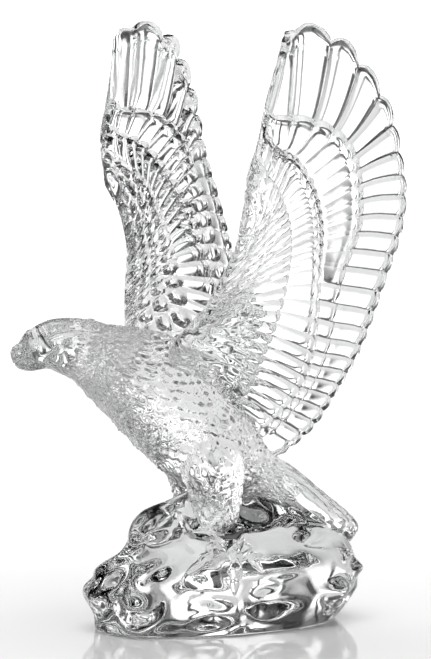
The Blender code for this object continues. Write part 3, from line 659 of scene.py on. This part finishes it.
# Toes: bearing in degrees and level where each leaves the shank, then the same at its talon.
TOES = ((-22, 35.0, -39, 24.0), (-17, 34.0, -16, 16.5), (-12, 34.0, -5, 24.0))
TOE_THICKNESS = 0.0052
TOE_TAPER = (1.1, 1.15, 1.0, 1.0, 0.75, 0.25)
KNUCKLE_SWELL, KNUCKLES = 0.16, 3.5

# The rock is read here because the toes grip it: level above the table and middle along y in
# shares, then half length and half width as parts of the rock's own.
ROCK_LENGTH = 0.114
ROCK_WIDTH = 0.072
ROCK_LEVELS = ((0.0, 1.0, 0.878, 0.86), (2.0, 2.0, 0.900, 0.90), (6.0, 4.0, 0.940, 0.95),
               (14.0, 4.4, 1.0, 1.0), (20.0, 5.4, 0.975, 0.93), (25.0, 7.6, 0.925, 0.82),
               (29.0, 9.0, 0.865, 0.71), (33.0, 8.0, 0.800, 0.60), (40.0, 5.4, 0.700, 0.47),
               (46.0, 3.4, 0.520, 0.37), (51.0, 3.0, 0.300, 0.24), (55.0, 3.0, 0.12, 0.10))
ROCK_SQUARENESS = 2.1
ROCK_PLAIN_FOOT = 4.0
# Lumps and scooped hollows: bearing from +X in degrees, level, spread round in degrees, spread
# up, and height, which is negative in a hollow.
ROCK_FORMS = ((3, 13.0, 12, 5.0, -5.4), (-26, 9.5, 9, 4.5, -4.2), (-12, 9.0, 5, 8.0, 1.6),
              (3, 23.5, 16, 2.4, 2.6), (28, 30.0, 12, 3.6, -4.2), (-8, 29.0, 7, 3.2, -2.4),
              (9, 29.0, 7, 3.0, -2.4), (38, 13.0, 9, 5.0, 2.8), (56, 8.0, 8, 4.0, -2.8),
              (60, 20.0, 10, 3.0, 3.2), (86, 13.0, 9, 3.0, -2.2), (90, 25.0, 12, 3.0, 1.6),
              (-52, 27.0, 8, 4.0, 4.0), (-44, 13.0, 6, 6.0, -3.0), (-62, 9.0, 8, 5.0, 2.6),
              (-76, 19.0, 8, 4.0, -4.4), (-98, 9.0, 8, 4.0, 1.2), (-104, 24.0, 10, 3.0, 3.4),
              (-58, 40.0, 12, 4.0, 4.2), (-82, 33.0, 12, 3.0, -3.2), (-100, 44.0, 14, 4.0, 2.0),
              (120, 30.0, 14, 4.0, 3.0), (126, 14.0, 11, 5.0, -4.4), (150, 22.0, 10, 4.0, 3.4),
              (168, 12.0, 11, 5.0, -5.0), (190, 22.0, 8, 4.0, 2.6), (203, 11.0, 10, 5.0, -4.2),
              (222, 28.0, 12, 4.0, 3.8), (236, 12.0, 9, 5.0, 2.6), (90, 44.0, 28, 9.0, 11.0))


def rock_surface(angle, level, extra=0.0):
    """Points of the rock's side: a rounded plan at each level, with lumps, hollows and fine waves.

    The plan is a superellipse, whose radius is the sum of the powers of cosine and sine, to minus
    one over the power. Each lump or hollow is a bell curve round and up, and `extra` is added."""
    rows = np.array(ROCK_LEVELS)
    shape = np.broadcast(angle, level).shape
    flat_level = np.broadcast_to(level, shape).ravel()
    values = spline(rows[:, 0], rows[:, None, 1:], flat_level[None])[0]
    middle, length, width = values.T.reshape(3, *shape)
    power = ROCK_SQUARENESS
    corner = (np.abs(np.cos(angle)) ** power + np.abs(np.sin(angle)) ** power) ** (-1 / power)
    push = np.zeros(shape)
    for bearing, tier, spread_round, spread_up, amount in ROCK_FORMS:
        away = (np.degrees(angle) - bearing + 180) % 360 - 180
        push += amount * np.exp(-(away / spread_round) ** 2 - ((level - tier) / spread_up) ** 2)
    push = (push + extra) * np.clip(level / ROCK_PLAIN_FOOT, 0, 1)
    x = np.cos(angle) * (corner * width * ROCK_WIDTH / 2 + push * SHARE)
    y = np.sin(angle) * (corner * length * ROCK_LENGTH / 2 + push * SHARE) + middle * SHARE
    return np.stack([x, y, level * SHARE + 0 * x], axis=-1)


def foot_place(side):
    """Where a shank meets the rock."""
    return np.array([side * LEG_SPACING / 2, FAR_LEG_SETBACK if side < 0 else 0.0, 0.0])


def leg(side):
    """A thigh with long drooping feathers, which are scales that wander, and a plain shank."""
    rows = np.array(LEG_LINE) * SHARE
    at = np.linspace(0, len(rows) - 1, 64)
    y, z, radius = spline(np.arange(float(len(rows))), rows[:, None], at[None])[0].T
    centres = foot_place(side) + np.stack([0 * y, y, z], axis=1)
    aside = np.arange(LEG_SPOKES) / LEG_SPOKES * THIGH_FEATHERS_AROUND
    lie = np.stack(np.broadcast_arrays(aside[None] * THIGH_FEATHER_WIDTH, z[:, None], y[:, None]), axis=-1)
    plume = scales(at[:, None] * THIGH_ROWS + ripple(lie, *THIGH_WANDER),
                   aside[None] + ripple(lie, *THIGH_SIDE_WANDER), THIGH_TIP)
    swell = THIGH_RELIEF * (plume - 0.3) * ease(SHANK_START, THIGH_FULL, at)[:, None]
    return limb(f"leg_{side}", centres, radius, LEG_SPOKES, swell, finish=STIPPLED)


def toe(side, number, foot_angle, foot_level, tip_angle, tip_level):
    """One toe with its knuckles and talon, along the side of the rock that it grips.

    Its radius is a taper times one and a cosine, which swells at each knuckle."""
    along = np.linspace(0, 1, 30)
    bearing = np.radians(foot_angle + (tip_angle - foot_angle) * along)
    level = foot_level + (tip_level - foot_level) * along
    centres = rock_surface(bearing, level) + foot_place(side) * np.array([0, 1, 0])
    centres[:, 0] = side * (centres[:, 0] + TOE_THICKNESS * 0.25)
    taper = np.interp(along * 5, np.arange(6), TOE_TAPER)
    knuckles = 1 + KNUCKLE_SWELL * np.cos(along * 2 * np.pi * KNUCKLES) * ease(0.85, 0.7, along)
    return limb(f"toe_{side}_{number}", centres, TOE_THICKNESS / 2 * taper * knuckles, 16)


# Rock: the base of the same casting, a craggy outcrop of rounded lumps and scooped, bright
# hollows on a smooth low foot that stands flat on the table.
ROCK_SPOKES = 200
# Waves: height in shares, length in metres and seed. They rise between two levels.
BROAD_WAVES, FINE_WAVES = (0.9, 0.017, 21), (0.3, 0.0095, 22)
CRAGGY_START, CRAGGY_FULL = 4.0, 11.0
FOOT_ROUNDING = 0.012


def rock():
    """The rock ring by ring, with waves that fade out towards its smooth foot.

    The waves are strongest on the side the bird faces, by the sine of the bearing. The lowest
    ring is drawn a little towards its own middle, which rounds the foot."""
    angle = (np.arange(ROCK_SPOKES) / ROCK_SPOKES * 2 * np.pi)[None]
    level = np.concatenate([(0.0, 0.3, 0.8, 1.4), np.linspace(2.1, 54.0, 58)])[:, None]
    plain = rock_surface(angle, level)
    waves = ripple(plain, *BROAD_WAVES) + ripple(plain, *FINE_WAVES)
    craggy = ease(CRAGGY_START, CRAGGY_FULL, level) * (0.55 + 0.45 * ease(-0.2, 0.7, -np.sin(angle)))
    rings = rock_surface(angle, level, waves * craggy)
    rings[0] = rings[0] * (1 - FOOT_ROUNDING) + rings[0].mean(axis=0) * FOOT_ROUNDING
    rings[..., 2] = np.maximum(rings[..., 2], 0)
    return tube("rock", rings, np.full(len(level), POLISHED))


# Casting: every form above is pressed in one go, so they are joined into one closed solid of
# glass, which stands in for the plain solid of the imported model.
SHARP_EDGE_DEGREES = 62


def shell_of(mesh):
    """For each point, the lowest number of all the points that edges join it to."""
    edges = np.empty(len(mesh.edges) * 2, np.int32)
    mesh.edges.foreach_get("vertices", edges)
    one, other = edges.reshape(-1, 2).T
    shell = np.arange(len(mesh.vertices))
    while np.any(shell[one] != shell[other]):
        lower = np.minimum(shell[one], shell[other])
        np.minimum.at(shell, shell[one], lower)
        np.minimum.at(shell, shell[other], lower)
        shell = shell[shell]
    return shell


def fused(name, base, parts):
    """One closed mesh from a base form and the forms that overlap it, without loose specks."""
    for part in parts:
        join = base.modifiers.new(part.name, "BOOLEAN")
        join.operation = "UNION"
        join.solver = "MANIFOLD"
        join.object = part
    depsgraph = bpy.context.evaluated_depsgraph_get()
    mesh = bpy.data.meshes.new_from_object(base.evaluated_get(depsgraph))
    mesh.name = name
    shell = shell_of(mesh)
    specks = np.flatnonzero(shell != np.bincount(shell).argmax())
    whole = bmesh.new()
    whole.from_mesh(mesh)
    whole.verts.ensure_lookup_table()
    bmesh.ops.delete(whole, geom=[whole.verts[i] for i in specks], context="VERTS")
    whole.to_mesh(mesh)
    whole.free()
    casting = bpy.data.objects.new(name, mesh)
    bpy.context.scene.collection.objects.link(casting)
    for part in [base] + list(parts):
        bpy.data.objects.remove(part, do_unlink=True)
    return casting


forms = [body(), tail()]
for side in (1, -1):
    forms += [wing(side), leg(side), brow(side)]
    forms += [toe(side, number, *settings) for number, settings in enumerate(TOES)]
    forms.append(ball(f"eye_{side}", np.array(EYE_PLACE) * SHARE * np.array([side, 1, 1]), EYE_RADIUS))
eagle = fused("crystal_eagle_casting", rock(), forms)
eagle.data.shade_smooth()
eagle.data.set_sharp_from_angle(angle=np.radians(SHARP_EDGE_DEGREES))

# Lead crystal, pressed in a steel mould: colourless and clear, with faint flow waves and a trace
# of haze. The smooth faces are fire-polished, the mould stipples the plumage and the grooves with
# pits, and on the head and the neck the pits are combed out into strokes.
GLASS_IOR = 1.545
GLASS_HAZE = 0.003
COMB_FALL = np.radians(30)
# The floor and the rim of a pit, as parts of the pits' spacing from its middle.
PIT_FLOOR, PIT_RIM = 0.22, 0.55


def linear(hex_colour):
    """A six-digit sRGB colour as linear red, green, blue and one for alpha."""
    parts = np.array([int(hex_colour[i:i + 2], 16) / 255 for i in (0, 2, 4)])
    return (*np.where(parts <= 0.04045, parts / 12.92, ((parts + 0.055) / 1.055) ** 2.4), 1.0)


def add_node(tree, kind, inputs=(), **settings):
    """A node of one kind with its settings, and its inputs given as values or as links."""
    node = tree.nodes.new(kind)
    for name, value in settings.items():
        setattr(node, name, value)
    for name, value in dict(inputs).items():
        if isinstance(value, bpy.types.NodeSocket):
            tree.links.new(value, node.inputs[name])
        else:
            node.inputs[name].default_value = value
    return node


def crystal(name, wave_size, wave_height, grain_size, grain_height, grain_length=1.0):
    """Clear glass whose bump is flow waves and finer pits, each of a real size in metres.

    The pits have flat floors and steep walls, so glass between them stays clear. They are
    `grain_length` times as long as wide, along the neck and down the breast."""
    material = bpy.data.materials.new(name)
    material.use_nodes = True
    tree = material.node_tree
    shader = tree.nodes["Principled BSDF"]
    place = add_node(tree, "ShaderNodeTexCoord").outputs["Object"]
    waves = add_node(tree, "ShaderNodeTexNoise", {"Vector": place, "Scale": 1 / wave_size, "Detail": 1.0})
    lie = add_node(tree, "ShaderNodeMapping", {"Vector": place, "Rotation": (COMB_FALL, 0.0, 0.0)})
    drawn = add_node(tree, "ShaderNodeMapping", {"Vector": lie.outputs["Vector"],
                                                 "Scale": (1.0, 1.0 / grain_length, 1.0)})
    grain = add_node(tree, "ShaderNodeTexVoronoi", {"Vector": drawn.outputs["Vector"],
                                                    "Scale": 1 / grain_size})
    pits = add_node(tree, "ShaderNodeMapRange", {"Value": grain.outputs["Distance"], "From Min": PIT_FLOOR,
                                                 "From Max": PIT_RIM}, interpolation_type="SMOOTHSTEP")
    broad = add_node(tree, "ShaderNodeBump", {"Height": waves.outputs["Fac"], "Distance": wave_height,
                                              "Strength": 1.0})
    fine = add_node(tree, "ShaderNodeBump", {"Height": pits.outputs["Result"], "Distance": grain_height,
                                             "Strength": 1.0, "Normal": broad.outputs["Normal"]})
    rough = add_node(tree, "ShaderNodeMapRange", {"Value": waves.outputs["Fac"], "From Min": 0.3,
                                                  "From Max": 0.7, "To Min": 0.0, "To Max": GLASS_HAZE})
    tree.links.new(fine.outputs["Normal"], shader.inputs["Normal"])
    tree.links.new(rough.outputs["Result"], shader.inputs["Roughness"])
    shader.inputs["Base Color"].default_value = linear("FDFEFE")
    shader.inputs["Metallic"].default_value = 0.0
    shader.inputs["IOR"].default_value = GLASS_IOR
    shader.inputs["Transmission Weight"].default_value = 1.0
    return material


# The pits are drawn about 2 mm apart, coarser than a mould's usual stipple, so that they show.
eagle.data.materials.clear()
for finish in (
        crystal("fire_polished_crystal", wave_size=0.012, wave_height=0.00020,
                grain_size=0.003, grain_height=0.000005),
        crystal("stippled_crystal", wave_size=0.005, wave_height=0.00022,
                grain_size=0.0020, grain_height=0.00040),
        crystal("combed_crystal", wave_size=0.006, wave_height=0.00025,
                grain_size=0.0022, grain_height=0.00100, grain_length=5.0)):
    eagle.data.materials.append(finish)
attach(eagle, "root")
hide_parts("crystal_eagle")

# Table: a plain white sheet of polished acrylic, far wider than the casting, which mirrors the
# rock's foot faintly.
TABLE_HALF = 14.0
TABLE_TOP = -0.0002
ACRYLIC_IOR = 1.49
ACRYLIC_SPECULAR = 0.15
DUST_SIZE = 0.025
SMOOTHEST, ROUGHEST = 0.05, 0.09


def table():
    """A square sheet just under the casting's flat underside."""
    mesh = bpy.data.meshes.new("table")
    square = ((-1, -1), (1, -1), (1, 1), (-1, 1))
    mesh.from_pydata([(x * TABLE_HALF, y * TABLE_HALF, TABLE_TOP) for x, y in square], [], [(0, 1, 2, 3)])
    thing = bpy.data.objects.new("table", mesh)
    bpy.context.scene.collection.objects.link(thing)
    material = bpy.data.materials.new("pale_acrylic")
    material.use_nodes = True
    tree = material.node_tree
    shader = tree.nodes["Principled BSDF"]
    place = add_node(tree, "ShaderNodeTexCoord").outputs["Object"]
    dust = add_node(tree, "ShaderNodeTexNoise", {"Vector": place, "Scale": 1 / DUST_SIZE, "Detail": 2.0})
    rough = add_node(tree, "ShaderNodeMapRange", {"Value": dust.outputs["Fac"], "To Min": SMOOTHEST,
                                                  "To Max": ROUGHEST})
    tree.links.new(rough.outputs["Result"], shader.inputs["Roughness"])
    shader.inputs["Base Color"].default_value = linear("FBFBFB")
    shader.inputs["IOR"].default_value = ACRYLIC_IOR
    shader.inputs["Specular IOR Level"].default_value = ACRYLIC_SPECULAR
    mesh.materials.append(material)
    return thing


table()

# Studio: white light all round at eye height and a large lamp overhead, with a dim band between
# them and sixteen upright dark flags all round, which draw the dark lines in clear glass.
HORIZON_LIGHT = 1.6
GREY_LIGHT = 0.17
DARK_LIGHT = 0.05
TOP_LIGHT = 3.0
# Sines of the heights where the white ends, the wall is grey, it is dark, the lamp begins and the
# lamp is at its full light.
WHITE_END, GREY_WALL, DARK_WALL, LAMP_RIM, LAMP_FULL = 0.11, 0.27, 0.66, 0.80, 0.90
# Two flags stand in each eighth of a turn: degrees from its start, half width and softness.
FLAG_PLACES = ((31.0, 8.0, 2.0), (7.5, 2.0, 1.0))
FLAG_LIGHT = 0.05

world = bpy.data.worlds.new("studio")
bpy.context.scene.world = world
world.use_nodes = True
tree = world.node_tree
tree.nodes.clear()
way = add_node(tree, "ShaderNodeTexCoord").outputs["Generated"]
axes = add_node(tree, "ShaderNodeSeparateXYZ", {"Vector": way}).outputs
white_part = add_node(tree, "ShaderNodeMapRange", {
    "Value": axes["Z"], "From Min": WHITE_END, "From Max": GREY_WALL,
    "To Min": HORIZON_LIGHT, "To Max": GREY_LIGHT}).outputs["Result"]
grey_part = add_node(tree, "ShaderNodeMapRange", {
    "Value": axes["Z"], "From Min": GREY_WALL, "From Max": DARK_WALL,
    "To Min": 0.0, "To Max": DARK_LIGHT - GREY_LIGHT}).outputs["Result"]
walls = add_node(tree, "ShaderNodeMath", {0: white_part, 1: grey_part}, operation="ADD").outputs[0]
lamp_part = add_node(tree, "ShaderNodeMapRange", {
    "Value": axes["Z"], "From Min": LAMP_RIM, "From Max": LAMP_FULL,
    "To Min": 0.0, "To Max": TOP_LIGHT}).outputs["Result"]
bearing = add_node(tree, "ShaderNodeMath", {0: axes["Y"], 1: axes["X"]}, operation="ARCTAN2").outputs[0]
eighths = add_node(tree, "ShaderNodeMath", {0: bearing, 1: 4 / np.pi}, operation="MULTIPLY").outputs[0]
within = add_node(tree, "ShaderNodeMath", {0: eighths}, operation="FRACT").outputs[0]
light = walls
for centre, half_width, softness in np.array(FLAG_PLACES) / 45:
    off = add_node(tree, "ShaderNodeMath", {0: within, 1: centre}, operation="SUBTRACT").outputs[0]
    gap = add_node(tree, "ShaderNodeMath", {0: off}, operation="ABSOLUTE").outputs[0]
    shade = add_node(tree, "ShaderNodeMapRange", {
        "Value": gap, "From Min": half_width - softness, "From Max": half_width + softness,
        "To Min": FLAG_LIGHT, "To Max": 1.0}).outputs["Result"]
    light = add_node(tree, "ShaderNodeMath", {0: light, 1: shade}, operation="MULTIPLY").outputs[0]
light = add_node(tree, "ShaderNodeMath", {0: light, 1: lamp_part}, operation="ADD").outputs[0]
sky = add_node(tree, "ShaderNodeBackground", {"Strength": light})
add_node(tree, "ShaderNodeOutputWorld", {"Surface": sky.outputs["Background"]})
sky.inputs["Color"].default_value = linear("FFFFFF")
scene = bpy.context.scene
scene.view_settings.view_transform = "Standard"

# Camera: a long lens 1.5 m away, 60 degrees from the bird's front towards its left side, and
# 5 degrees above level.
CAMERA_TURN = np.radians(60)
CAMERA_RISE = np.radians(5)
CAMERA_DISTANCE = 1.5
CAMERA_AIM = np.array((-0.008235, 0.005655, 0.113835))
LENS_MM = 210.1
SENSOR_MM = 36.0

sight = np.array((np.sin(CAMERA_TURN) * np.cos(CAMERA_RISE), -np.cos(CAMERA_TURN) * np.cos(CAMERA_RISE),
                  np.sin(CAMERA_RISE)))
lens = bpy.data.cameras.new("camera")
lens.sensor_fit = "VERTICAL"
lens.sensor_height = SENSOR_MM
lens.lens = LENS_MM
lens.clip_end = 100.0
camera = bpy.data.objects.new("camera", lens)
camera.location = CAMERA_AIM + sight * CAMERA_DISTANCE
camera.rotation_euler = (np.pi / 2 - CAMERA_RISE, 0.0, CAMERA_TURN)
scene.collection.objects.link(camera)
scene.camera = camera
